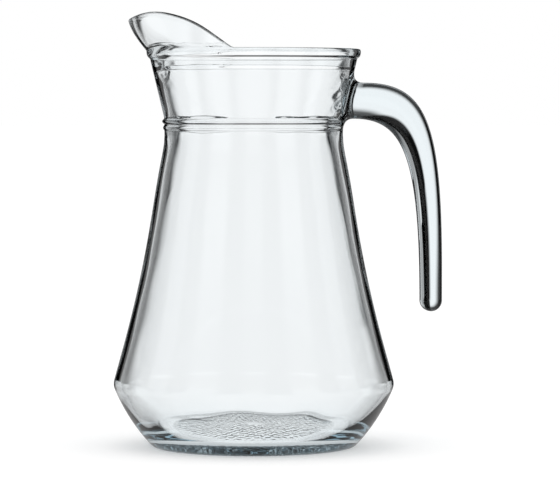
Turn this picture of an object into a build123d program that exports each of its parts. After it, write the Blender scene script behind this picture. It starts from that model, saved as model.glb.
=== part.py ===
from build123d import *
from math import cos, radians, sin
import os

# A glass pitcher standing on its base, in millimetres. The vessel's axis is Z, its lip points to -X
# and its handle to +X. The vessel and the handle are two gathers of glass that meet on the collar.

# Base and heel. A rounding's size is how far it reaches to each side of its corner.
base_radius = 55.0  # outer edge of the resting ring
base_round = 2.4
recess_radius = 44.0  # the shallow hollow under the floor
recess_depth = 1.6
heel_height = 34.0  # from the resting plane up to the belly's edge
heel_swelling = 2.0
belly_radius = 76.8
belly_round = 2.6

# Body, from the belly's edge up to the neck
body_height = 135.0
neck_radius = 48.6
flare_shares = ((0.096, 0.065), (0.386, 0.304), (0.644, 0.554), (0.805, 0.746))  # of drop and of widening
flare_slope = 0.26  # widening for each unit of drop where the flare meets the belly's edge

# Two raised rings around the neck
neck_band = 3.2  # plain glass below the lower ring
ring_width = 3.0
ring_gap = 0.5
lower_ring_depth = 0.7
upper_ring_depth = 1.2

# Collar and rim above the rings
collar_height = 37.8
collar_spread = 9.0  # how much wider the collar is at the rim than at the rings
bead_height = 5.5
bead_depth = 1.2
bead_round = 1.2

# Pouring lip
lip_rise = 19.5  # its highest point above the rim
lip_reach = 12.0  # how far the beak stands out beyond the collar
lip_root = 3.0  # how far below the rim the beak begins
lip_half_angle = 52.0  # the beak's half width, seen from above
lip_tip_drop = 3.6  # the tip's edge below the highest point
lip_crest_run = 12.0  # from the tip back to the highest point
lip_shoulder_run = 24.0  # on from there to the edge's shoulder
lip_shoulder_drop = 5.1
lip_heel = 11.0  # where the lip's edge meets the rim, from the axis
lip_wall = 3.2
lip_sections = 5

# Walls and floor
wall = 3.6
floor_thickness = 7.5
inner_floor_radius = 53.0
inner_floor_round = 3.0
inner_heel_swelling = 1.9

# Handle
handle_width = 15.0
handle_round = 3.6
handle_top = 18.3  # the arm's upper edge below the rim
handle_depth = 19.6  # the arm's depth where it leaves the collar
handle_reach = 102.5  # farthest point from the axis
handle_tip_depth = 12.2
handle_drop = 124.4  # from the arm's upper edge down to the tip
root_fillet = 5.5
root_sink = 8.0  # how far the arm is drawn into the collar before the collar is cut out of it
outer_bend_run, outer_bend_fall = 34.2, 80.4  # how far the edge keeps to the arm and to the grip as it bends
inner_bend_run, inner_bend_fall = 25.8, 81.9
grip_straight = 16.2  # the outer edge's straight end above the tip's rounding

# Levels and radii worked out from the sizes above
neck_level = heel_height + body_height
lower_ring_level = neck_level + neck_band
upper_ring_level = lower_ring_level + ring_width + ring_gap
collar_level = upper_ring_level + ring_width
rim_level = collar_level + collar_height
crest_level = rim_level + lip_rise
lip_level = rim_level - lip_root
arm_level = rim_level - handle_top
under_level = arm_level - handle_depth
tip_level = arm_level - handle_drop


def collar_radius(level):
    """Outer radius of the collar's cone at a height."""
    return neck_radius + collar_spread * (level - collar_level) / collar_height


rim_radius = collar_radius(rim_level)
lip_radius = collar_radius(lip_level) - bead_depth / 4  # the lip's wall rises from inside the bead


def swollen_arc(start, end, swelling):
    """An arc between two points whose middle stands off to the right of the straight way."""
    along = Vector(*end) - Vector(*start)
    aside = Vector(along.Y, -along.X).normalized() * swelling
    return ThreePointArc(start, (Vector(*start) + Vector(*end)) / 2 + aside, end)


def flare_curve(inset):
    """The body's curve from the belly's edge up to the neck, on either face of the wall."""
    belly, neck = belly_radius - inset, neck_radius - inset
    between = [
        (neck + (belly - neck) * widening, neck_level - body_height * drop)
        for drop, widening in reversed(flare_shares)
    ]
    points = [(belly, heel_height), *between, (neck, neck_level)]
    return Spline(points, tangents=((-flare_slope, 1), (0, 1)))


def rounded(curves, sizes):
    """Curves that meet end to start, each cut short of its corners, with a smooth bend in place of each corner."""
    cut = []
    for curve, before, after in zip(curves, (0, *sizes), (*sizes, 0)):
        cut.append(curve.trim(before / curve.length, 1 - after / curve.length))
    return cut + [Bezier(first @ 1, corner @ 0, last @ 0) for first, corner, last in zip(cut, curves[1:], cut[1:])]


def outer_form():
    """All that lies inside the vessel's outer face, up to the rim."""
    bead_foot = rim_level - bead_height
    bead_radius = rim_radius + bead_depth / 2
    underside = Line((0, 0), (base_radius, 0))
    heel = swollen_arc((base_radius, 0), (belly_radius, heel_height), heel_swelling)
    body_curves = rounded((underside, heel, flare_curve(0)), (base_round, belly_round))
    with BuildPart() as form:
        with BuildSketch(Plane.XZ):
            with BuildLine():
                add(body_curves)
                Line((neck_radius, neck_level), (neck_radius, lower_ring_level))
                for level, depth in (
                    (lower_ring_level, lower_ring_depth),
                    (upper_ring_level, upper_ring_depth),
                ):
                    swollen_arc((neck_radius, level), (neck_radius, level + ring_width), depth)
                Line((neck_radius, upper_ring_level - ring_gap), (neck_radius, upper_ring_level))
                FilletPolyline(
                    (neck_radius, collar_level),
                    (collar_radius(bead_foot), bead_foot),
                    (bead_radius, bead_foot + bead_depth),
                    (bead_radius, rim_level),
                    (0, rim_level),
                    radius=bead_round,
                )
                Line((0, rim_level), (0, 0))
            make_face()
        revolve(axis=Axis.Z)
    return form.part


def inner_form():
    """The vessel's hollow, from the floor up to where the lip's wall begins."""
    floor = Line((0, floor_thickness), (inner_floor_radius, floor_thickness))
    heel = swollen_arc((inner_floor_radius, floor_thickness), (belly_radius - wall, heel_height), inner_heel_swelling)
    body_curves = rounded((floor, heel, flare_curve(wall)), (inner_floor_round, belly_round))
    with BuildPart() as form:
        with BuildSketch(Plane.XZ):
            with BuildLine():
                add(body_curves)
                Polyline(
                    (neck_radius - wall, neck_level),
                    (neck_radius - wall, collar_level),
                    (lip_radius - lip_wall, lip_level),
                    (0, lip_level),
                    (0, floor_thickness),
                )
            make_face()
        revolve(axis=Axis.Z)
    return form.part


def beak_edge(radius, reach):
    """The beak seen from above: the circle's radius plus a swelling that fades to both sides."""
    if reach == 0:  # a plain arc at the beak's foot, so that it meets the collar without a step
        return CenterArc((0, 0), radius, 180 - lip_half_angle, 2 * lip_half_angle)
    points = []
    for step in range(-3, 4):
        swelling = reach * cos(radians(90 * step / 3)) ** 4
        points.append(Vector(-radius - swelling, 0).rotate(Axis.Z, lip_half_angle * step / 3))
    ends = [Vector(0, -1).rotate(Axis.Z, side * lip_half_angle) for side in (-1, 1)]
    return Spline(points, tangents=ends)


def lip_form(radius):
    """A round column whose -X side swells into the beak as it rises."""
    with BuildPart() as form:
        for number in range(lip_sections):
            share = number / (lip_sections - 1)
            level = lip_level + (crest_level - lip_level) * share
            with BuildSketch(Plane.XY.offset(level)):
                with BuildLine():
                    beak_edge(radius, lip_reach * sin(radians(90 * share)))
                    CenterArc((0, 0), radius, lip_half_angle - 180, 360 - 2 * lip_half_angle)
                make_face()
        loft()
    return form.part


def lip_wall_form():
    """The lip's column cut to its sloping edge, as the side view shows it."""
    tip = -(lip_radius + lip_reach)
    tip_edge = (tip, crest_level - lip_tip_drop)
    crest = (tip + lip_crest_run, crest_level)
    shoulder = (crest[0] + lip_shoulder_run, crest_level - lip_shoulder_drop)
    beyond = tip - lip_wall
    column = lip_form(lip_radius)
    with BuildPart() as form:
        add(column)
        with BuildSketch(Plane.XZ):
            with BuildLine():
                Spline((-lip_heel, rim_level), shoulder, crest, tip_edge)
                Polyline(
                    tip_edge,
                    (beyond, tip_edge[1]),
                    (beyond, lip_level),
                    (-lip_heel, lip_level),
                    (-lip_heel, rim_level),
                )
            make_face()
        extrude(amount=lip_radius + lip_reach, both=True, mode=Mode.INTERSECT)
    return form.part


def make_vessel(outside):
    """The jug without its handle: its outer forms less its hollow and the recess under it."""
    hollow, lip, lip_hollow = inner_form(), lip_wall_form(), lip_form(lip_radius - lip_wall)
    with BuildPart() as vessel:
        add(outside)
        add(lip)
        add(hollow, mode=Mode.SUBTRACT)
        add(lip_hollow, mode=Mode.SUBTRACT)
        with BuildSketch(Plane.XZ):
            with BuildLine():
                Polyline((0, recess_depth), (0, 0), (recess_radius, 0))
                TangentArc((0, recess_depth), (recess_radius, 0), tangent=(1, 0))
            make_face()
        revolve(axis=Axis.Z, mode=Mode.SUBTRACT)
    vessel.part.label = "vessel"
    return vessel.part


def make_handle(outside):
    """The arm: its side view given a width and rounded edges, less the collar that it is fused to."""
    tip_radius = handle_tip_depth / 2
    tip_centre = tip_level + tip_radius
    inner_reach = handle_reach - handle_tip_depth
    top_root = collar_radius(arm_level + root_fillet)
    low_root = neck_radius
    sunk = low_root - root_sink
    with BuildPart() as handle:
        with BuildSketch(Plane.XZ):
            with BuildLine():
                Polyline(
                    (low_root, under_level - root_fillet),
                    (sunk, under_level - root_fillet),
                    (sunk, arm_level + root_fillet),
                    (top_root, arm_level + root_fillet),
                )
                CenterArc((top_root + root_fillet, arm_level + root_fillet), root_fillet, 180, 90)
                Bezier(
                    (top_root + root_fillet, arm_level),
                    (top_root + root_fillet + outer_bend_run, arm_level),
                    (handle_reach, tip_centre + grip_straight + outer_bend_fall),
                    (handle_reach, tip_centre + grip_straight),
                )
                Line((handle_reach, tip_centre + grip_straight), (handle_reach, tip_centre))
                CenterArc((handle_reach - tip_radius, tip_centre), tip_radius, 180, 180)
                Bezier(
                    (inner_reach, tip_centre),
                    (inner_reach, tip_centre + inner_bend_fall),
                    (low_root + root_fillet + inner_bend_run, under_level),
                    (low_root + root_fillet, under_level),
                )
                CenterArc((low_root + root_fillet, under_level - root_fillet), root_fillet, 90, 90)
            make_face()
        extrude(amount=handle_width / 2, both=True)
        sides = handle.faces().sort_by(Axis.Y)
        free_edges = (sides[0].edges() + sides[-1].edges()).filter_by(
            lambda edge: edge.bounding_box().min.X > sunk + root_sink / 2
        )
        fillet(free_edges, handle_round)
        add(outside, mode=Mode.SUBTRACT)
    handle.part.label = "handle"
    return handle.part


os.makedirs("parts", exist_ok=True)
body = outer_form()
export_step(make_vessel(body), "parts/vessel.step")
export_step(make_handle(body), "parts/handle.step")
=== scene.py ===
import math

import bmesh
import bpy
import numpy as np
from bpy.props import FloatProperty, FloatVectorProperty, IntProperty, PointerProperty
from bpy.types import Operator, Panel, PropertyGroup
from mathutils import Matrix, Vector


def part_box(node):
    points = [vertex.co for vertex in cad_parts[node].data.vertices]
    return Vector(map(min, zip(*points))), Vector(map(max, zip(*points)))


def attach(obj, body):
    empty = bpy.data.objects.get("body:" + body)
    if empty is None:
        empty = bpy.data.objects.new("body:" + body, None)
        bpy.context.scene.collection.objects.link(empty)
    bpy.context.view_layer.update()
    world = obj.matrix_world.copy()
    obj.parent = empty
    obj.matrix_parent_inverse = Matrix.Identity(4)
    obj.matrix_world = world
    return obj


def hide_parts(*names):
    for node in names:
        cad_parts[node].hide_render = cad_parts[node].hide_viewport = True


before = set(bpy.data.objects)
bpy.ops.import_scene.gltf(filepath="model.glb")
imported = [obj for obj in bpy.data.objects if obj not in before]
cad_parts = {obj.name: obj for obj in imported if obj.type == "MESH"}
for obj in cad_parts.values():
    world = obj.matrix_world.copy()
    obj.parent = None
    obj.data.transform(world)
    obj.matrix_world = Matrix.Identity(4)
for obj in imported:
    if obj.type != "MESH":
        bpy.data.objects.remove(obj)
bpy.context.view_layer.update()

bl_info = {
    "name": "Glass Pitcher",
    "version": (1, 0, 0),
    "blender": (4, 5, 0),
    "location": "View3D > Sidebar > Pitcher",
    "description": "Blows a glass pitcher with a pouring lip and an open handle around its packed frame",
    "category": "Add Mesh",
}

MM = 0.001
VESSEL, HANDLE, SLOT = "vessel", "handle", "clear_glass"
PIECE_NAME = "pitcher_glass"
# The first point attribute holds painted shade: dark lines painted on the lip's top and along the handle's
# corners. The second marks the handle's arm.
PAINTED_SHADE, ARM = "painted_edge_shade", "handle_arm"
TURN = 2 * math.pi
WHITE = (1.0, 1.0, 1.0, 1.0)

VESSEL_LOW, VESSEL_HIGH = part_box(VESSEL)
HANDLE_LOW, HANDLE_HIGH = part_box(HANDLE)


def length(name, description, default):
    """A property that holds a length in metres."""
    return FloatProperty(name=name, description=description, default=default, unit="LENGTH", precision=5)


def share(name, description, default):
    """A property that holds a share or a plain number."""
    return FloatProperty(name=name, description=description, default=default, precision=3)


def count(name, description, default):
    """A property that holds a number of grid rows or columns."""
    return IntProperty(name=name, description=description, default=default, min=1)


class PitcherVessel(PropertyGroup):
    """Sizes of the blown vessel."""

    columns: count("Columns", "Grid columns around the axis", 240)
    base_radius: length("Base Radius", "Outer edge of the resting ring", 55.0 * MM)
    base_round: length("Base Rounding", "Rounding of the resting ring's outer edge", 2.4 * MM)
    recess_radius: length("Recess Radius", "Edge of the hollow under the floor", 44.0 * MM)
    recess_depth: length("Recess Depth", "Depth of the hollow under the floor", 1.6 * MM)
    stipple_height: length("Stipple Height", "Height of the stipple before it is eased", 0.65 * MM)
    stipple_width: length("Stipple Width", "Width of one stipple bump", 3.4 * MM)
    heel_height: length("Heel Height", "From the resting plane up to the belly's edge", 34.0 * MM)
    heel_swelling: length("Heel Swelling", "How far the heel stands out of a straight cone", 2.0 * MM)
    belly_radius: length("Belly Radius", "Widest radius", VESSEL_HIGH.x + 0.36 * MM)
    belly_round: length("Belly Rounding", "Length of the rounding on each side of the belly's edge", 2.6 * MM)
    neck_level: length("Neck Level", "Height of the neck", 169.0 * MM)
    neck_radius: length("Neck Radius", "Radius of the neck", 48.6 * MM)
    flare_slope: share("Flare Slope", "Widening for each unit of drop at the belly's edge", 0.26)
    neck_band: length("Neck Band", "Plain glass under the lower ring", 3.2 * MM)
    ring_width: length("Ring Width", "Height of each raised ring", 3.0 * MM)
    ring_gap: length("Ring Gap", "Groove between the two rings", 0.5 * MM)
    lower_ring_depth: length("Lower Ring Depth", "How far the lower ring stands out", 0.7 * MM)
    upper_ring_depth: length("Upper Ring Depth", "How far the upper ring stands out", 1.2 * MM)
    collar_height: length("Collar Height", "From the rings up to the rim", 37.8 * MM)
    collar_spread: length("Collar Spread", "How much wider the collar is at the rim", 9.0 * MM)
    bead_height: length("Bead Height", "Height of the bead around the rim", 5.5 * MM)
    bead_depth: length("Bead Depth", "How far the bead stands out", 1.2 * MM)
    rim_round: length("Rim Rounding", "Rounding over the top of the rim and of the lip", 1.4 * MM)
    wall: length("Wall", "Thickness of the wall", 3.6 * MM)
    floor_thickness: length("Floor Thickness", "Thickness of the floor", 7.5 * MM)
    inner_floor_radius: length("Inner Floor Radius", "Where the inner floor meets the heel", 53.0 * MM)
    inner_floor_round: length("Inner Floor Rounding", "Rounding between the floor and the heel", 3.0 * MM)
    inner_heel_swelling: length("Inner Heel Swelling", "Roundness of the hollow's heel", 1.9 * MM)
    rim_thickening: length("Rim Thickening", "Extra glass inside the rim", 0.55 * MM)
    wave_height: length("Wave Height", "Unevenness of the blown inner face", 0.10 * MM)
    relief: length("Relief", "Most that the stipple and the waves may stand out or in", 0.5 * MM)
    ripple_height: length("Ripple Height", "Unevenness at the handle's root and the lip's foot", 0.16 * MM)
    table_gap: length("Table Gap", "Least height of the stipple above the table", 0.2 * MM)


class PitcherLip(PropertyGroup):
    """Sizes of the pouring lip."""

    reach: length("Reach", "How far the beak stands out beyond the collar", 12.0 * MM)
    root: length("Root", "How far below the rim the beak begins", 3.0 * MM)
    half_angle: FloatProperty(
        name="Half Angle", description="The beak's half width, seen from above",
        default=math.radians(52.0), subtype="ANGLE",
    )
    wall: length("Wall", "Thickness of the lip", 3.2 * MM)
    heel: length("Heel", "From the axis to where the lip's edge meets the rim", 11.0 * MM)
    crest: length("Crest", "Height of the lip's highest point", VESSEL_HIGH.z)
    tip_drop: length("Tip Drop", "The tip's edge below the highest point", 3.4 * MM)
    crest_run: length("Crest Run", "From the tip back to the highest point", 12.0 * MM)
    brow: length("Brow", "From the axis to the edge's brow behind the highest point", 44.0 * MM)
    brow_drop: length("Brow Drop", "The brow below the highest point", 1.6 * MM)
    shoulder: length("Shoulder", "From the axis to the edge's shoulder", 29.5 * MM)
    shoulder_drop: length("Shoulder Drop", "The shoulder below the highest point", 7.3 * MM)
    heel_slope: share("Heel Slope", "Slope of the edge where it leaves the rim", 0.62)
    tip_slope: share("Tip Slope", "Slope of the edge at the tip", -0.45)


class PitcherHandle(PropertyGroup):
    """Sizes of the handle."""

    stations: count("Stations", "Sections along the arm", 64)
    width: length("Width", "Width of the arm", HANDLE_HIGH.y - HANDLE_LOW.y)
    reach: length("Reach", "Farthest point from the axis", HANDLE_HIGH.x)
    top: length("Top", "The arm's upper edge below the rim", 18.3 * MM)
    depth: length("Depth", "The arm's depth where it leaves the collar", 19.6 * MM)
    tip_depth: length("Tip Depth", "The arm's depth at its tip", 12.2 * MM)
    tip_level: length("Tip Level", "Lowest point of the arm", HANDLE_LOW.z)
    root_fillet: length("Root Fillet", "Rounding where the arm leaves the collar", 5.5 * MM)
    root_spread: length("Root Spread", "How far the root runs out over the collar", 7.2 * MM)
    outer_run: length("Outer Run", "How far the outer edge keeps to the arm", 34.2 * MM)
    outer_fall: length("Outer Fall", "How far the outer edge keeps to the grip", 80.4 * MM)
    inner_run: length("Inner Run", "How far the inner edge keeps to the arm", 25.8 * MM)
    inner_fall: length("Inner Fall", "How far the inner edge keeps to the grip", 81.9 * MM)
    grip_straight: length("Straight Grip", "The outer edge's straight end above the tip", 16.2 * MM)
    outer_squareness: share("Outer Squareness", "How square the outer edges are", 3.6)
    inner_squareness: share("Inner Squareness", "How square the inner edges are", 2.15)
    widest: share("Widest Place", "How far outwards the arm is widest, in half depths", 0.22)
    # The four sizes below shape the dark lines of painted shade along the arm's corners.
    outer_shade_line: length("Outer Line", "Width of the dark line along the outer edge", 2.2 * MM)
    outer_shade_fade: length("Outer Fade", "Where the outer line has faded", 4.0 * MM)
    inner_shade_line: length("Inner Line", "Width of the dark line along the inner edge", 2.4 * MM)
    bend_shade_line: length("Bend Line", "How much wider the inner line is in the arm's bend", 3.0 * MM)


class PitcherFinish(PropertyGroup):
    """Colour and clarity of the glass, and the grey of its painted shade where it is seen edge on."""

    tint: FloatVectorProperty(
        name="Tint", description="Colour of thick glass", subtype="COLOR", size=3,
        default=(0.46, 0.74, 0.86), min=0, max=1,
    )
    density: FloatProperty(name="Density", description="How strongly thick glass is tinted", default=16.0)
    refraction: share("Refraction", "Index of refraction", 1.5)
    # Painted shade: the grey that the glass colour turns to where it is seen edge on and along the painted
    # dark lines.
    painted_edge_grey: share("Edge Grey", "Colour of glass seen edge on", 0.003)


class PitcherStage(PropertyGroup):
    """Floor, lamps and camera."""

    eye_height: length("Eye Height", "Height of the camera", 185.0 * MM)
    distance: length("Distance", "From the camera to the pitcher's axis", 1780.0 * MM)
    aim_side: length("Aim Side", "Middle of the picture beside the axis", 14.3 * MM)
    aim_height: length("Aim Height", "Middle of the picture above the floor", 112.6 * MM)
    lens: FloatProperty(name="Lens", description="Focal length in millimetres", default=210.2)
    floor_size: length("Floor Size", "Side of the floor", 60.0)
    window_light: share("Window Light", "Light of the windows and lanes seen through the glass", 1.07)
    paper_glow: share("Paper Glow", "Light that the floor adds to what the lamps give it", 0.24)


def settings():
    """The groups of settings, kept on the scene: vessel, lip, handle, finish and stage."""
    return [getattr(bpy.context.scene, group) for group in GROUPS]


def smooth_step(low, high, value):
    """0 below low and 1 above high, with an S-shaped cubic between them."""
    t = np.clip((value - low) / (high - low), 0, 1)
    return t * t * (3 - 2 * t)


def eased_below(limit, value):
    """The value, eased so that its size never passes the limit."""
    return limit * np.tanh(value / limit)


def spline_through(stations, values, start_slope, end_slope, at):
    """Clamped cubic spline: its slopes are solved so that the curvature runs on from span to span."""
    stations, values = np.asarray(stations, float), np.asarray(values, float)
    step = np.diff(stations)
    rise = np.diff(values) / step
    last = len(stations) - 1
    system, right = np.eye(last + 1), np.zeros(last + 1)
    right[0], right[last] = start_slope, end_slope
    inner = np.arange(1, last)
    system[inner, inner - 1], system[inner, inner + 1] = step[1:], step[:-1]
    system[inner, inner] = 2 * (step[1:] + step[:-1])
    right[inner] = 3 * (step[1:] * rise[:-1] + step[:-1] * rise[1:])
    slopes = np.linalg.solve(system, right)
    span = np.clip(np.searchsorted(stations, at) - 1, 0, last - 1)
    t = (at - stations[span]) / step[span]
    start, end = values[span], values[span + 1]
    start_pull, end_pull = slopes[span] * step[span], slopes[span + 1] * step[span]
    return (
        (1 + 2 * t) * (1 - t) ** 2 * start + t * (1 - t) ** 2 * start_pull
        + t * t * (3 - 2 * t) * end + t * t * (t - 1) * end_pull
    )


def along(points, shares):
    """Points at shares of a polyline's length."""
    way = np.concatenate([[0], np.cumsum(np.linalg.norm(np.diff(points, axis=0), axis=1))])
    return np.stack([np.interp(shares * way[-1], way, points[:, k]) for k in range(points.shape[1])], axis=1)


def straight(start, end):
    """The two ends of a straight leg of an outline."""
    return np.array([start, end], float)


def bow(start, end, swelling, steps=48):
    """The straight way from start to end, pushed to its right by a parabola whose middle is the swelling."""
    start, end = np.array(start, float), np.array(end, float)
    t = np.linspace(0, 1, steps)[:, None]
    way = end - start
    aside = np.array([way[1], -way[0]]) / np.linalg.norm(way)
    return start + way * t + aside * swelling * 4 * t * (1 - t)


def outline(legs, bend_rows=5):
    """Legs from corner to corner, each (points, rows, rounding at its end). A corner becomes the quadratic
    curve that starts and ends the rounding's length away from it, with the corner as its middle control."""
    rows, before = [], 0.0
    t = np.linspace(0, 1, bend_rows + 2)[1:-1, None]
    for number, (points, steps, rounding) in enumerate(legs):
        size = np.linalg.norm(np.diff(points, axis=0), axis=1).sum()
        rows.append(along(points, np.linspace(before / size, 1 - rounding / size, steps + 1)))
        if rounding:
            following = legs[number + 1][0]
            onward = np.linalg.norm(np.diff(following, axis=0), axis=1).sum()
            leaves = along(following, np.array([rounding / onward]))
            rows.append(rows[-1][-1:] * (1 - t) ** 2 + 2 * points[-1:] * t * (1 - t) + leaves * t * t)
        elif number + 1 < len(legs):
            rows[-1] = rows[-1][:-1]
        before = rounding
    return np.concatenate(rows)


class VesselShape:
    """The vessel's levels, radii and outlines, worked out from its settings."""

    flare_drops = (0.0, 0.096, 0.386, 0.644, 0.805, 1.0)
    flare_widenings = (0.0, 0.065, 0.304, 0.554, 0.746, 1.0)

    def __init__(self):
        self.vessel, self.lip, handle, *_ = settings()
        v = self.vessel
        self.lower_ring = v.neck_level + v.neck_band
        self.upper_ring = self.lower_ring + v.ring_width + v.ring_gap
        self.collar_level = self.upper_ring + v.ring_width
        self.rim_level = self.collar_level + v.collar_height
        self.bead_foot = self.rim_level - v.bead_height
        self.arm_level = self.rim_level - handle.top
        self.lip_level = self.rim_level - self.lip.root
        self.lip_radius = self.collar_radius(self.lip_level) - v.bead_depth / 4
        self.angles = TURN * np.arange(v.columns) / v.columns

    def collar_radius(self, level):
        """The collar's cone at a height."""
        v = self.vessel
        return v.neck_radius + v.collar_spread * (level - self.collar_level) / v.collar_height

    def flare(self, inset, steps=160):
        """The body's curve up to the neck: radius over height is a clamped spline through the shares."""
        v = self.vessel
        drop = v.neck_level - v.heel_height
        levels = v.neck_level - drop * np.array(self.flare_drops[::-1])
        spread = v.belly_radius - v.neck_radius
        radii = v.neck_radius - inset + spread * np.array(self.flare_widenings[::-1])
        at = np.linspace(v.heel_height, v.neck_level, steps)
        return np.stack([spline_through(levels, radii, -v.flare_slope, 0.0, at), at], axis=1)

    def outer_rows(self):
        """Radius and height of the rows from the middle of the underside up to the bead's foot."""
        v = self.vessel
        out = np.linspace(0.02, 1, 60)
        dome = np.stack([v.recess_radius * out, v.recess_depth * (1 - out**2)], axis=1)
        neck, belly = v.neck_radius, (v.belly_radius, v.heel_height)
        gap_start = self.lower_ring + v.ring_width
        legs = [
            (dome, 40, 1.0 * MM),
            (straight((v.recess_radius, 0), (v.base_radius, 0)), 5, v.base_round),
            (bow((v.base_radius, 0), belly, v.heel_swelling), 16, v.belly_round),
            (self.flare(0), 44, 0.0),
            (straight((neck, v.neck_level), (neck, self.lower_ring)), 3, 0.35 * MM),
            (bow((neck, self.lower_ring), (neck, gap_start), v.lower_ring_depth), 8, 0.2 * MM),
            (straight((neck, gap_start), (neck, self.upper_ring)), 1, 0.2 * MM),
            (bow((neck, self.upper_ring), (neck, self.collar_level), v.upper_ring_depth), 8, 0.4 * MM),
            (
                straight((neck, self.collar_level), (self.collar_radius(self.bead_foot), self.bead_foot)),
                22, 0.0,
            ),
        ]
        return outline(legs, bend_rows=3)

    def inner_rows(self):
        """Radius and height of the rows from the hollow's upper collar down to the middle of the floor."""
        v = self.vessel
        neck, thick = v.neck_radius - v.wall, v.floor_thickness
        belly = (v.belly_radius - v.wall, v.heel_height)
        floor_edge = (v.inner_floor_radius, thick)
        top = self.inner_collar_top()
        legs = [
            (straight((0.02 * v.inner_floor_radius, thick), floor_edge), 18, v.inner_floor_round),
            (bow(floor_edge, belly, v.inner_heel_swelling), 18, v.belly_round),
            (self.flare(v.wall), 42, 0.0),
            (straight((neck, v.neck_level), (neck, self.collar_level)), 7, 1.5 * MM),
            (straight((neck, self.collar_level), top), 16, 0.0),
        ]
        return outline(legs, bend_rows=4)[::-1]

    def inner_cone(self, level):
        """The hollow's cone inside the collar."""
        v = self.vessel
        neck = v.neck_radius - v.wall
        mouth = self.lip_radius - self.lip.wall
        return neck + (mouth - neck) * (level - self.collar_level) / (self.lip_level - self.collar_level)

    def inner_collar_top(self):
        """Where the hollow's plain cone ends and the rim's thickening begins."""
        level = self.rim_level - 2.2 * self.vessel.bead_height
        return (self.inner_cone(level), level)

    def beak(self, level):
        """How far the beak stands out: a quarter sine over its height times a fourth power of a cosine."""
        lip = self.lip
        rise = np.clip((level - self.lip_level) / (lip.crest - self.lip_level), 0, 1)
        aside = np.abs((self.angles + math.pi) % TURN - math.pi)
        around = np.cos(np.clip(aside / lip.half_angle, 0, 1) * math.pi / 2) ** 4
        return lip.reach * np.sin(rise * math.pi / 2) * around

    def edge_level(self):
        """Height of the wall's top around the vessel: the rim, or the lip's line as in the side view. How far
        the beak reaches depends on that height, so it is found in rounds."""
        lip = self.lip
        tip = self.lip_radius + lip.reach
        stations = np.array([lip.heel, lip.shoulder, lip.brow, tip - lip.crest_run, tip])
        drops = np.array([0, lip.shoulder_drop, lip.brow_drop, 0, lip.tip_drop])
        levels = lip.crest - drops
        levels[0] = self.rim_level
        height = np.full(len(self.angles), lip.crest)
        for _ in range(12):
            ahead = (self.lip_radius + self.beak(height)) * np.cos(self.angles)
            ahead = np.clip(ahead, lip.heel, tip)
            line = spline_through(stations, levels, lip.heel_slope, lip.tip_slope, ahead)
            height = np.where(ahead > lip.heel, np.maximum(line, self.rim_level), self.rim_level)
        return height

    def wall_radii(self, level, height):
        """Outer and inner radius of the collar's upper wall. The bead stands on the collar's cone and fades
        into the lip above the rim. The inner face is the hollow's cone, drawn in where the rim is thicker."""
        v, lip = self.vessel, self.lip
        beak = self.beak(level)
        lip_face = self.lip_radius + beak
        swell = smooth_step(self.bead_foot, self.bead_foot + 1.6 * MM, level)
        bead = self.collar_radius(level) + v.bead_depth * swell
        bead = np.minimum(bead, self.collar_radius(self.rim_level) + v.bead_depth / 2)
        fade = smooth_step(self.rim_level - 1.0 * MM, self.rim_level + 1.6 * MM, level)
        fade = fade * smooth_step(0.3 * MM, 3.0 * MM, height - self.rim_level)
        bead = bead * (1 - fade) + lip_face * fade
        outer = np.maximum(np.where(level > self.lip_level, lip_face, 0), bead)
        cone = self.inner_cone(np.minimum(level, self.lip_level)) + beak
        step = self.rim_level - 1.85 * v.bead_height
        thick = smooth_step(step - 1.2 * MM, step + 1.2 * MM, level) * (1 - fade * 0.6)
        return outer, cone - v.rim_thickening * thick

    def waves(self, radius, level):
        """Unevenness of the blown inner face: a sum of slow sines around and along the axis, strongest at
        the heel and the rings, and a finer ripple at the handle's root and the lip's foot."""
        v, angle = self.vessel, self.angles
        along_axis = level / (10 * MM)
        total = (
            0.9 * np.sin(3 * angle + 0.50 * along_axis + 0.4)
            + 0.7 * np.sin(5 * angle - 0.83 * along_axis + 2.1)
            + 0.5 * np.sin(8 * angle + 1.31 * along_axis + 4.0)
            + 0.35 * np.sin(13 * angle - 1.9 * along_axis + 1.2)
        )
        near_heel = np.exp(-(((level - v.heel_height * 0.6) / (12 * MM)) ** 2))
        near_rings = np.exp(-(((level - self.upper_ring) / (7 * MM)) ** 2))
        strength = 0.25 + 2.2 * near_heel + 2.4 * near_rings
        beside = np.abs((angle + math.pi) % TURN - math.pi)
        by_arm = (level - self.arm_level + 7 * MM) / (15 * MM)
        by_bead = (level - self.bead_foot + 5 * MM) / (8 * MM)
        root = np.exp(-(((beside - math.pi) / 0.42) ** 2) - by_arm**2)
        foot = np.exp(-((beside / 0.5) ** 2) - by_bead**2)
        ripple = np.sin(TURN * level / (8 * MM) + 5 * np.sin(6 * angle))
        ripple = ripple + np.sin(19 * angle + level / (2.6 * MM))
        ripple = v.ripple_height * (root + foot) * ripple
        total = (v.wave_height * strength * total + ripple) * smooth_step(10 * MM, 40 * MM, radius)
        return eased_below(v.relief, total)

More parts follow.
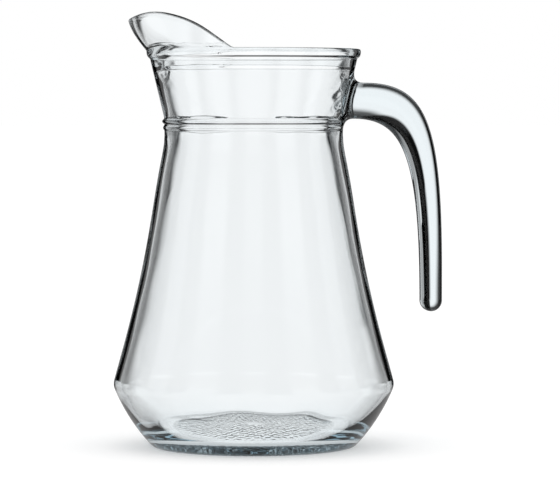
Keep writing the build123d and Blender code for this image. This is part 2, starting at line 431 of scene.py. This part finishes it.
    def grid(self):
        """The whole wall as rows of points: up the outside, over the edge and down the inside. A point is
        at the row's radius and height, turned about the axis by the column's angle. The beak is at -X."""
        v = self.vessel
        shape = (1, v.columns)
        height = self.edge_level()
        outside, inside = self.outer_rows(), self.inner_rows()
        stipple = self.stipple(outside)
        rows = [(np.broadcast_to(outside[:, :1], (len(outside), v.columns)), outside[:, 1:] + stipple)]
        climb = np.linspace(0, 1, 19)[1:, None]
        level = self.bead_foot + (height - v.rim_round - self.bead_foot) * climb
        rows.append((self.wall_radii(level, height)[0], level))
        outer, inner = self.wall_radii((height - v.rim_round).reshape(shape), height)
        turn = np.linspace(0, math.pi, 13)[1:-1, None]
        middle, half = (outer + inner) / 2, (outer - inner) / 2
        round_over = np.sign(np.cos(turn)) * np.abs(np.cos(turn)) ** 0.62
        rows.append((middle + half * round_over, height - v.rim_round + v.rim_round * np.sin(turn) ** 0.62))
        foot = inside[0, 1]
        fall = np.linspace(0, 1, 24)[:-1, None]
        level = (height - v.rim_round) * (1 - fall) + foot * fall
        rows.append((self.wall_radii(level, height)[1] + self.waves(60 * MM, level), level))
        wave = self.waves(inside[:, :1], inside[:, 1:])
        lift = smooth_step(60 * MM, 40 * MM, inside[:, :1]) * smooth_step(30 * MM, 12 * MM, inside[:, 1:])
        rows.append((inside[:, :1] + wave * (1 - lift), inside[:, 1:] + wave * lift))
        radius = np.concatenate([np.broadcast_to(r, (len(z), v.columns)) for r, z in rows])
        level = np.concatenate([np.broadcast_to(z, (len(z), v.columns)) for r, z in rows])
        turned = self.angles + math.pi
        return np.stack([radius * np.cos(turned), radius * np.sin(turned), level], axis=2)

    def lip_painted_shade(self, grid):
        """Painted shade: a dark line painted on the rounding over the lip's top, fading within 1.2 mm below
        it. It is 0 along the rim.
        """
        height = self.edge_level()
        near = smooth_step(height - 1.2 * MM, height - 0.5 * MM, grid[:, :, 2])
        return 0.8 * (near * smooth_step(0.5 * MM, 4 * MM, height - self.rim_level)).ravel()

    def stipple(self, rows):
        """Pressed stipple under the floor: seven sines in crossed directions, each a little finer than the
        one before, kept in a ring, strongest in two patches and clear of the table."""
        v = self.vessel
        x, y = rows[:, :1] * np.cos(self.angles), rows[:, :1] * np.sin(self.angles)
        number = np.arange(7)[:, None, None]
        heading = number * 2.4
        fineness = TURN / v.stipple_width * (0.8 + 0.07 * number)
        bumps = np.sin(fineness * (x * np.cos(heading) + y * np.sin(heading)) + 1.7 * number).sum(axis=0)
        radius = rows[:, :1]
        ring = smooth_step(5 * MM, 14 * MM, radius)
        ring = ring * smooth_step(v.recess_radius, v.recess_radius - 8 * MM, radius)
        ring = ring * (rows[:, 1:] < v.floor_thickness / 2)
        patches = np.exp(-(((x - 28 * MM) / (14 * MM)) ** 2)) + np.exp(-(((x + 14 * MM) / (18 * MM)) ** 2))
        bumps = eased_below(v.relief, v.stipple_height * ring * (0.6 + 0.4 * patches) * bumps / 2)
        return np.maximum(bumps, np.minimum(0, v.table_gap - rows[:, 1:]))


def grid_faces(rows, columns):
    """The quads between neighbouring rows and columns, in the order that turns their fronts outwards."""
    row, column = np.arange(rows - 1)[:, None], np.arange(columns)
    a, b = row * columns + column, row * columns + (column + 1) % columns
    return np.stack([a, b, b + columns, a + columns], axis=2).reshape(-1, 4)


def cap(pole, loop):
    """The triangles between a pole and each side of a loop of points."""
    return np.stack([np.full(len(loop), pole), loop, np.roll(loop, -1)], axis=1)


def new_mesh_object(name, points, quads, triangles, edge, arm):
    """A mesh object of these points and faces, without points that no face uses. Edge says how much painted
    shade each point takes, as dark lines on the lip's top and the handle's corners, and arm how far it
    belongs to the handle's arm."""
    used, renumbered = np.unique(np.append(quads, triangles), return_inverse=True)
    quads, triangles = renumbered[: quads.size].reshape(-1, 4), renumbered[quads.size:].reshape(-1, 3)
    mesh = bpy.data.meshes.new(name)
    mesh.from_pydata(points[used], [], quads.tolist() + triangles.tolist())
    for mark, values in ((PAINTED_SHADE, edge), (ARM, arm)):
        attribute = mesh.attributes.new(mark, "FLOAT", "POINT")
        attribute.data.foreach_set("value", np.asarray(values, np.float32)[used])
    mesh.validate()
    mesh.update()
    bpy.context.scene.collection.objects.link(bpy.data.objects.new(name, mesh))


class HandleWindow:
    """The patch of the vessel's grid that the handle's root takes the place of."""

    half_columns = 8

    def __init__(self, shape, grid):
        _, _, handle, *_ = settings()
        outside = shape.outer_rows()[:, 1]
        rows = np.arange(len(outside))
        on_collar = outside > shape.vessel.neck_level
        low_end = shape.arm_level - handle.depth - handle.root_spread
        high_end = shape.arm_level + handle.root_spread
        self.low = rows[on_collar][np.argmin(np.abs(outside[on_collar] - low_end))]
        self.high = rows[on_collar][np.argmin(np.abs(outside[on_collar] - high_end))]
        middle = shape.vessel.columns // 2
        self.left, self.right = middle - self.half_columns, middle + self.half_columns
        self.loop = self.edge_points(grid)

    def edge_points(self, grid):
        """The window's edge as one loop: along the low row, up, back along the high row and down."""
        low, high, left, right = self.low, self.high, self.left, self.right
        return np.concatenate([
            grid[low, left:right],
            grid[low:high, right],
            grid[high, right:left:-1],
            grid[high:low:-1, left],
        ])

    def holds(self, rows, columns):
        """Which quads of the grid lie inside the window."""
        return (rows >= self.low) & (rows < self.high) & (columns >= self.left) & (columns < self.right)


class PITCHER_OT_vessel(Operator):
    """Blow the vessel: one closed wall with its heel, rings, collar, rim and pouring lip"""

    bl_idname = "pitcher.vessel"
    bl_label = "Blow Vessel"

    def execute(self, context):
        shape = VesselShape()
        grid = shape.grid()
        rows, columns = grid.shape[:2]
        window = HandleWindow(shape, grid)
        quads = grid_faces(rows, columns)
        number = np.arange(len(quads))
        quads = quads[~window.holds(number // columns, number % columns)]
        poles = np.array([[0, 0, grid[0, :, 2].mean()], [0, 0, grid[-1, :, 2].mean()]])
        points = np.concatenate([grid.reshape(-1, 3), poles])
        low_pole, high_pole = rows * columns, rows * columns + 1
        loop = np.arange(columns)
        triangles = np.concatenate([cap(low_pole, loop[::-1]), cap(high_pole, loop + (rows - 1) * columns)])
        # Painted shade: the dark line on the lip's top, none at the two poles. The vessel has no arm.
        edge = np.append(shape.lip_painted_shade(grid), (0, 0))
        new_mesh_object("vessel_wall", points, quads, triangles, edge, edge * 0)
        return {"FINISHED"}


def bezier(controls, steps=80):
    """Cubic Bezier curve of four control points."""
    a, b, c, d = (np.array(point, float) for point in controls)
    t = np.linspace(0, 1, steps)[:, None]
    return a * (1 - t) ** 3 + 3 * b * t * (1 - t) ** 2 + 3 * c * t * t * (1 - t) + d * t**3


class HandleShape:
    """The arm as sections between its outer and inner edge in the side view."""

    def __init__(self, shape, window):
        _, _, self.handle, *_ = settings()
        self.shape, self.window, self.arm_level = shape, window, shape.arm_level
        h = self.handle
        self.under_level = self.arm_level - h.depth
        self.tip_radius = h.tip_depth / 2
        self.tip_centre = h.tip_level + self.tip_radius

    def edges(self):
        """The outer and the inner edge of the arm, from the root to the tip's rounding, in X and Z."""
        h, v = self.handle, self.shape.vessel
        root = self.shape.collar_radius(self.arm_level + h.root_fillet) + h.root_fillet
        low_root = v.neck_radius + h.root_fillet
        bend_end = self.tip_centre + h.grip_straight
        outer = bezier([
            (root, self.arm_level), (root + h.outer_run, self.arm_level),
            (h.reach, bend_end + h.outer_fall), (h.reach, bend_end),
        ])
        outer = np.concatenate([outer, [(h.reach, self.tip_centre)]])
        inner_reach = h.reach - h.tip_depth
        inner = bezier([
            (low_root, self.under_level), (low_root + h.inner_run, self.under_level),
            (inner_reach, self.tip_centre + h.inner_fall), (inner_reach, self.tip_centre),
        ])
        return outer, inner

    def section(self, angle):
        """A rounded oblong as a superellipse by polar angle around its widest place, which lies nearer the
        outer edge. Its outer part is squarer than its inner part."""
        h = self.handle
        outward = np.cos(angle) > 0
        power = np.where(outward, h.outer_squareness, h.inner_squareness)
        spread = (np.abs(np.sin(angle)) ** power + np.abs(np.cos(angle)) ** power) ** (-1 / power)
        deep = spread * np.cos(angle) * np.where(outward, 1 - h.widest, 1 + h.widest) + h.widest
        return deep, spread * np.sin(angle)

    def loops(self):
        """Loops of points from the window's edge, round the root's fillet, along the arm and round its tip,
        then the point at the tip's end, then the painted shade of each point: dark lines along the arm's
        corners."""
        edge = self.window.loop
        low, high = edge.min(axis=0), edge.max(axis=0)
        middle, half = (low + high) / 2, (high - low) / 2
        angle = np.arctan2(edge[:, 1] / half[1], (edge[:, 2] - middle[2]) / half[2])
        even = self.even_angles(angle)
        shares = np.linspace(0, 1, self.handle.stations)
        outer, inner = (along(side, shares) for side in self.edges())
        turning = angle + (even - angle) * smooth_step(0.0, 0.2, shares)[:, None]
        arm = self.arm_loops((outer + inner) / 2, (outer - inner) / 2, turning)
        root = self.root_loops(edge, arm[0])
        turn = np.linspace(0, math.pi / 2, 13)[1:-1, None]
        band = self.painted_shade_bands((outer - inner) / 2, shares, turning, even, turn)
        # Painted shade fades in over the root's loops, from none at the window's edge.
        before = np.zeros((1 + len(root), band.shape[1]))
        before[1:] = band[0] * np.linspace(0, 1, len(root) + 1)[1:, None]
        pole = np.array([[self.handle.reach - self.tip_radius, 0, self.handle.tip_level]])
        loops = np.concatenate([edge[None], root, arm[1:], self.tip_loops(even, turn)])
        return loops, pole, np.append(np.concatenate([before, band]), 0.5)

    def arm_loops(self, centre, reach, turning):
        """The arm's sections, each laid from its point on the inner edge to its point on the outer edge."""
        deep, wide = self.section(turning)
        return np.stack([
            centre[:, :1] + reach[:, :1] * deep,
            wide * self.handle.width / 2,
            centre[:, 1:] + reach[:, 1:] * deep,
        ], axis=2)

    def tip_loops(self, even, turn):
        """The rounding at the arm's free end: its last section shrinks as it goes down a quarter turn."""
        h = self.handle
        deep, wide = self.section(even)
        return np.stack([
            h.reach - self.tip_radius + self.tip_radius * np.cos(turn) * deep,
            wide * h.width / 2 * np.cos(turn) ** 0.55,
            np.broadcast_to(self.tip_centre - self.tip_radius * np.sin(turn), (len(turn), len(even))),
        ], axis=2)

    def painted_shade_bands(self, reach, shares, turning, even, turn):
        """Painted shade on the arm's sections after the first and round the tip: dark lines painted along the
        outer and the inner corners. The inner one is widest in the bend."""
        h = self.handle
        deep, wide = self.section(turning[1:])
        tip_deep, tip_wide = self.section(even)
        deep = np.concatenate([deep, np.cos(turn) * tip_deep])
        wide = np.abs(np.concatenate([wide, np.cos(turn) * tip_wide]))
        arm_half = np.linalg.norm(reach, axis=1)[1:]
        half_depth = np.append(arm_half, np.full(len(turn), self.tip_radius))[:, None]
        below = np.append(np.zeros(len(shares) - 1), np.sin(turn))[:, None]
        off_centre = np.where(below > 0, np.hypot(deep, below), deep)
        outer = 1 - smooth_step(h.outer_shade_line, h.outer_shade_fade, half_depth * (1 - off_centre))
        outer = outer * smooth_step(0.4, 0.72, wide)
        station = np.append(shares[1:], np.ones(len(turn)))[:, None]
        line = h.inner_shade_line + h.bend_shade_line * np.exp(-(((station - 0.3) / 0.16) ** 2))
        inner = 1 - smooth_step(0.6 * line, 1.3 * line, half_depth * (1 + deep))
        inner = inner * smooth_step(0.3, 0.6, wide)
        return 0.06 + 0.94 * np.maximum(outer, inner * 0.85)

    def even_angles(self, angle):
        """Polar angles that space the section's points evenly, from the first point of the loop on."""
        fine = np.linspace(0, TURN, 721)
        deep, wide = self.section(angle[0] + fine * self.sense(angle))
        step = np.hypot(np.diff(deep) * self.handle.depth / 2, np.diff(wide) * self.handle.width / 2)
        way = np.concatenate([[0], np.cumsum(step)])
        turned = np.interp(np.arange(len(angle)) / len(angle) * way[-1], way, fine)
        even = angle[0] + turned * self.sense(angle)
        return even + TURN * np.round((angle - even) / TURN)

    def sense(self, angle):
        """1 where the loop's polar angle grows, -1 where it falls."""
        return 1.0 if np.unwrap(angle)[-1] > angle[0] else -1.0

    def root_loops(self, edge, first):
        """Each point of the window's edge runs to the arm on a quadratic curve, whose middle control point
        is where the arm's line would meet the collar."""
        shape = self.shape
        outside = shape.outer_rows()
        above = outside[:, 1] > shape.vessel.heel_height
        radius = np.interp(first[:, 2], outside[above, 1], outside[above, 0])
        corner = first.copy()
        corner[:, 0] = np.sqrt(radius**2 - first[:, 1] ** 2)
        t = np.linspace(0, 1, 11)[1:, None, None]
        return edge * (1 - t) ** 2 + 2 * corner * t * (1 - t) + first * t * t


class PITCHER_OT_handle(Operator):
    """Draw the handle: a fused root, a flat-sided arm with a rounded inner side, and a round tip"""

    bl_idname = "pitcher.handle"
    bl_label = "Draw Handle"

    def execute(self, context):
        shape = VesselShape()
        window = HandleWindow(shape, shape.grid())
        # The third result is the painted shade of each point.
        loops, pole, edge = HandleShape(shape, window).loops()
        rows, columns = loops.shape[:2]
        points = np.concatenate([loops.reshape(-1, 3), pole])
        triangles = cap(rows * columns, np.arange(columns) + (rows - 1) * columns)
        arm = np.append(np.repeat(smooth_step(3, 12, np.arange(rows)), columns), 1.0)
        new_mesh_object("handle_arm", points, grid_faces(rows, columns), triangles, edge, arm)
        return {"FINISHED"}


class PITCHER_OT_fuse(Operator):
    """Fuse the handle's root to the collar, so that the pitcher is one closed body of glass"""

    bl_idname = "pitcher.fuse"
    bl_label = "Fuse Handle"

    def execute(self, context):
        vessel, handle = bpy.data.objects["vessel_wall"], bpy.data.objects["handle_arm"]
        with bpy.context.temp_override(active_object=vessel, selected_editable_objects=[vessel, handle]):
            bpy.ops.object.join()
        weld(vessel.data, 0.001 * MM)
        vessel.name = vessel.data.name = PIECE_NAME
        vessel.data.materials.append(glass_material())
        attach(vessel, "root")
        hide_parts(VESSEL, HANDLE)
        return {"FINISHED"}


def weld(mesh, distance):
    """Merges the points that two pieces share and shades the mesh smooth. The result has to be closed."""
    cells = bmesh.new()
    cells.from_mesh(mesh)
    bmesh.ops.remove_doubles(cells, verts=cells.verts, dist=distance)
    open_edges = sum(1 for edge in cells.edges if len(edge.link_faces) != 2)
    volume = cells.calc_volume(signed=True)
    cells.to_mesh(mesh)
    cells.free()
    mesh.polygons.foreach_set("use_smooth", np.ones(len(mesh.polygons), bool))
    mesh.update()
    if open_edges or volume <= 0:
        raise RuntimeError(f"the glass isn't closed: {open_edges} open edges, volume {volume:.6f} m3")
    print(f"glass: {len(mesh.polygons)} faces, {volume * 1e6:.1f} ml")


class Wire:
    """A node's output. Arithmetic on it adds Math nodes, and add() brings in any other node of its tree."""

    def __init__(self, tree, socket=None):
        self.tree, self.socket = tree, socket

    def add(self, kind, node_settings=None, inputs=None, output=0):
        """A new node of this kind: its settings, then the values or wires of its inputs. The output is
        chosen by its name or its number."""
        node = self.tree.nodes.new(kind)
        for name, value in (node_settings or {}).items():
            setattr(node, name, value)
        for name, value in (inputs or {}).items():
            if isinstance(value, Wire):
                self.tree.links.new(value.socket, node.inputs[name])
            else:
                node.inputs[name].default_value = value
        return Wire(self.tree, node.outputs[output] if len(node.outputs) else None)

    def maths(self, operation, *others):
        """A Math node that takes this wire first."""
        return self.add("ShaderNodeMath", {"operation": operation}, dict(enumerate((self, *others))))

    def __add__(self, other):
        return self.maths("ADD", other)

    def __radd__(self, other):
        return self.maths("ADD", other)

    def __sub__(self, other):
        return self.maths("SUBTRACT", other)

    def __rsub__(self, other):
        return self.maths("MULTIPLY_ADD", -1.0, other)

    def __mul__(self, other):
        return self.maths("MULTIPLY", other)

    def split(self):
        """The X, Y and Z of a vector."""
        return [self.add("ShaderNodeSeparateXYZ", inputs={0: self}, output=axis) for axis in "XYZ"]

    def ramp(self, low, high):
        """0 below low and 1 above high, smoothly."""
        inputs = {"Value": self, "From Min": low, "From Max": high}
        return self.add("ShaderNodeMapRange", {"interpolation_type": "SMOOTHSTEP"}, inputs)


def fresh_tree(owner):
    """The owner's node tree, emptied."""
    owner.use_nodes = True
    owner.node_tree.nodes.clear()
    return Wire(owner.node_tree)


def light(colour, strength, start):
    """An even emission."""
    return start.add("ShaderNodeEmission", inputs={"Color": colour, "Strength": strength})


def glass_material():
    """Clear pressed glass: it refracts and its thick parts are tinted. Its colour holds painted shade: it
    turns dark where the glass is seen edge on, along the dark lines painted on the lip's top and the handle's
    corners, and on the arm as its sides turn away. Lamps shine through it, so that its shadow is pale."""
    *_, finish, _ = settings()
    material = bpy.data.materials.new("clear_glass")
    start = fresh_tree(material)
    facing = start.add("ShaderNodeLayerWeight", inputs={"Blend": 0.5}, output="Facing")
    rounded = start.add("ShaderNodeAttribute", {"attribute_name": PAINTED_SHADE}, output="Fac")
    arm = start.add("ShaderNodeAttribute", {"attribute_name": ARM}, output="Fac")
    # Painted shade: how far the colour turns grey, where the glass is seen edge on, along the dark lines
    # painted on the lip and the handle, and on the arm's turning sides.
    edge = facing.ramp(0.8, 1.0).maths("MAXIMUM", rounded)
    edge = edge.maths("MAXIMUM", arm * facing.ramp(0.5, 0.8))
    # The glass colour: white, with the painted shade mixed in as grey.
    colour = start.add(
        "ShaderNodeMix", {"data_type": "RGBA"},
        {0: edge, 6: WHITE, 7: (finish.painted_edge_grey,) * 3 + (1.0,)}, output=2,
    )
    place = start.add("ShaderNodeTexCoord", output="Object")
    smear = start.add("ShaderNodeTexNoise", inputs={"Vector": place, "Scale": 60.0, "Detail": 3.0})
    glass = start.add("ShaderNodeBsdfPrincipled", inputs={
        "Base Color": colour, "Roughness": smear.ramp(0.45, 0.8) * 0.02,
        "IOR": finish.refraction, "Transmission Weight": 1.0,
    })
    clear = start.add("ShaderNodeBsdfTransparent", inputs={"Color": (0.93, 0.95, 0.955, 1.0)})
    shadow = start.add("ShaderNodeLightPath", output="Is Shadow Ray")
    mixed = start.add("ShaderNodeMixShader", inputs={0: shadow, 1: glass, 2: clear})
    tint = start.add("ShaderNodeVolumeAbsorption", inputs={
        "Color": (*finish.tint, 1.0), "Density": finish.density,
    })
    start.add("ShaderNodeOutputMaterial", inputs={"Surface": mixed, "Volume": tint})
    return material


def windows(across, forward, glance):
    """How light the surroundings are by bearing: a tall white window every 90 degrees, another half way
    between them, and dark cloth in between. Glass that bends light aside shows the cloth. Light that only
    glances off the glass finds the first windows dim, so that the outline is dark."""
    bearing = across.maths("ARCTAN2", forward)
    turned = (bearing * 4).maths("COSINE")
    return turned.ramp(0.65, 0.83) * (1 - glance * 0.9) + turned.ramp(-0.5, -0.72)


def lanes(across, forward, radius):
    """How light the floor is: white lanes run out from the pitcher towards the windows."""
    across, forward = across.maths("ABSOLUTE"), forward.maths("ABSOLUTE")
    spread = radius + 0.3
    main = across.maths("MINIMUM", forward).maths("DIVIDE", spread)
    between = ((across - forward).maths("ABSOLUTE") * math.sqrt(0.5)).maths("DIVIDE", spread)
    return main.ramp(0.25, 0.15).maths("MAXIMUM", between.ramp(0.2, 0.1))


def reflections(start, far_loss):
    """How much light is left, then whether it only glanced off the outer face. Light that came straight
    through the glass is whole. Reflected light loses 0.6 outside the glass and 0.3 inside its first wall,
    and the far loss on top once it has passed three faces."""
    reflected = start.add("ShaderNodeLightPath", output="Glossy Depth").maths("MINIMUM", 1.0)
    walls = start.add("ShaderNodeLightPath", output="Transmission Depth")
    inside = walls.ramp(0.5, 1.5)
    lost = 0.6 - inside * 0.3 + walls.ramp(2.5, 3.5) * far_loss
    return 1 - reflected * lost, reflected * (1 - inside)


def either(start, first, second):
    """1 for a ray of either kind."""
    kinds = [start.add("ShaderNodeLightPath", output=kind) for kind in (first, second)]
    return (kinds[0] + kinds[1]).maths("MINIMUM", 1.0)


def floor_material():
    """White paper: it takes the shadow of the glass and looks white where nothing shades it. Through the
    glass it shows its lanes."""
    *_, stage = settings()
    material = bpy.data.materials.new("white_sweep")
    start = fresh_tree(material)
    camera = start.add("ShaderNodeLightPath", output="Is Camera Ray")
    bent = either(start, "Is Glossy Ray", "Is Transmission Ray") * (1 - camera)
    across, forward, _ = start.add("ShaderNodeTexCoord", output="Object").split()
    radius = (across * across + forward * forward).maths("SQRT")
    seen = 1 - radius.ramp(0.08, 0.2) * (1 - lanes(across, forward, radius))
    left, _ = reflections(start, 0.6)
    paper = start.add("ShaderNodeBsdfDiffuse", inputs={"Color": (0.8, 0.8, 0.8, 1.0)})
    lit = start.add("ShaderNodeAddShader", inputs={0: paper, 1: light(WHITE, stage.paper_glow, start)})
    through = light(WHITE, seen * left * stage.window_light, start)
    mixed = start.add("ShaderNodeMixShader", inputs={0: bent, 1: lit, 2: through})
    start.add("ShaderNodeOutputMaterial", inputs={"Surface": mixed})
    return material


def studio_world():
    """White as the camera sees it. Through the glass it has windows by bearing, and it is dark high up."""
    *_, stage = settings()
    world = bpy.data.worlds.new("white_studio")
    bpy.context.scene.world = world
    start = fresh_tree(world)
    plain = either(start, "Is Camera Ray", "Is Diffuse Ray")
    across, forward, up = start.add("ShaderNodeTexCoord", output="Generated").split()
    low = 1 - up.ramp(0.22, 0.5) * 0.9
    left, glance = reflections(start, 0.0)
    through = (0.005 + windows(across, forward, glance) * stage.window_light) * low * left
    strength = plain + (1 - plain) * through
    glow = start.add("ShaderNodeBackground", inputs={"Color": WHITE, "Strength": strength})
    start.add("ShaderNodeOutputWorld", inputs={"Surface": glow})


def area_lamp(name, place, aim, width, height, watts):
    """A soft box that looks at a point."""
    lamp = bpy.data.lights.new(name, "AREA")
    lamp.shape = "RECTANGLE"
    lamp.size, lamp.size_y, lamp.energy = width, height, watts
    made = bpy.data.objects.new(name, lamp)
    made.location = place
    made.rotation_euler = (Vector(aim) - Vector(place)).to_track_quat("-Z", "Y").to_euler()
    made.visible_glossy = made.visible_transmission = False
    bpy.context.scene.collection.objects.link(made)


class PITCHER_OT_stage(Operator):
    """Set the white floor, the soft boxes and the camera"""

    bl_idname = "pitcher.stage"
    bl_label = "Set Stage"

    def execute(self, context):
        *_, stage = settings()
        scene = context.scene
        side = stage.floor_size / 2
        corners = np.array([[-side, -side, 0], [side, -side, 0], [side, side, 0], [-side, side, 0]])
        paper = bpy.data.meshes.new("sweep")
        paper.from_pydata(corners, [], [(0, 1, 2, 3)])
        paper.materials.append(floor_material())
        floor = bpy.data.objects.new("sweep", paper)
        scene.collection.objects.link(floor)
        studio_world()
        middle = (0, 0, stage.aim_height)
        area_lamp("soft_box_high", (-0.5, -0.4, 1.5), middle, 1.0, 1.0, 3.0)
        area_lamp("soft_box_low", (0.8, -0.7, 0.9), middle, 0.8, 0.8, 1.2)
        camera = bpy.data.cameras.new("camera")
        camera.lens, camera.sensor_width = stage.lens, 36.0
        camera.clip_end = 200.0
        eye = bpy.data.objects.new("camera", camera)
        place = Vector((stage.aim_side, -stage.distance, stage.eye_height))
        aim = Vector((stage.aim_side, 0, stage.aim_height))
        eye.location = place
        eye.rotation_euler = (aim - place).to_track_quat("-Z", "Y").to_euler()
        scene.collection.objects.link(eye)
        scene.camera = eye
        scene.view_settings.view_transform = "Standard"
        return {"FINISHED"}


class PITCHER_PT_panel(Panel):
    """Lists the pitcher's steps and sizes"""

    bl_idname = "PITCHER_PT_panel"
    bl_label = "Glass Pitcher"
    bl_space_type = "VIEW_3D"
    bl_region_type = "UI"
    bl_category = "Pitcher"

    def draw(self, context):
        for group, steps in GROUPS.items():
            box = self.layout.box()
            for step in steps:
                box.operator(step)
            owner = getattr(context.scene, group)
            for name in owner.__annotations__:
                box.prop(owner, name)


GROUPS = {
    "pitcher_vessel": ("pitcher.vessel",),
    "pitcher_lip": (),
    "pitcher_handle": ("pitcher.handle",),
    "pitcher_finish": ("pitcher.fuse",),
    "pitcher_stage": ("pitcher.stage",),
}
PROPERTY_GROUPS = (PitcherVessel, PitcherLip, PitcherHandle, PitcherFinish, PitcherStage)
OPERATORS = (PITCHER_OT_vessel, PITCHER_OT_handle, PITCHER_OT_fuse, PITCHER_OT_stage)


def register():
    for cls in (*PROPERTY_GROUPS, *OPERATORS, PITCHER_PT_panel):
        bpy.utils.register_class(cls)
    for name, group in zip(GROUPS, PROPERTY_GROUPS):
        setattr(bpy.types.Scene, name, PointerProperty(type=group))


def unregister():
    for name in GROUPS:
        delattr(bpy.types.Scene, name)
    for cls in reversed((*PROPERTY_GROUPS, *OPERATORS, PITCHER_PT_panel)):
        bpy.utils.unregister_class(cls)


def main():
    register()
    bpy.ops.pitcher.vessel()
    bpy.ops.pitcher.handle()
    bpy.ops.pitcher.fuse()
    bpy.ops.pitcher.stage()
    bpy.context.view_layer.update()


if __name__ == "__main__":
    main()
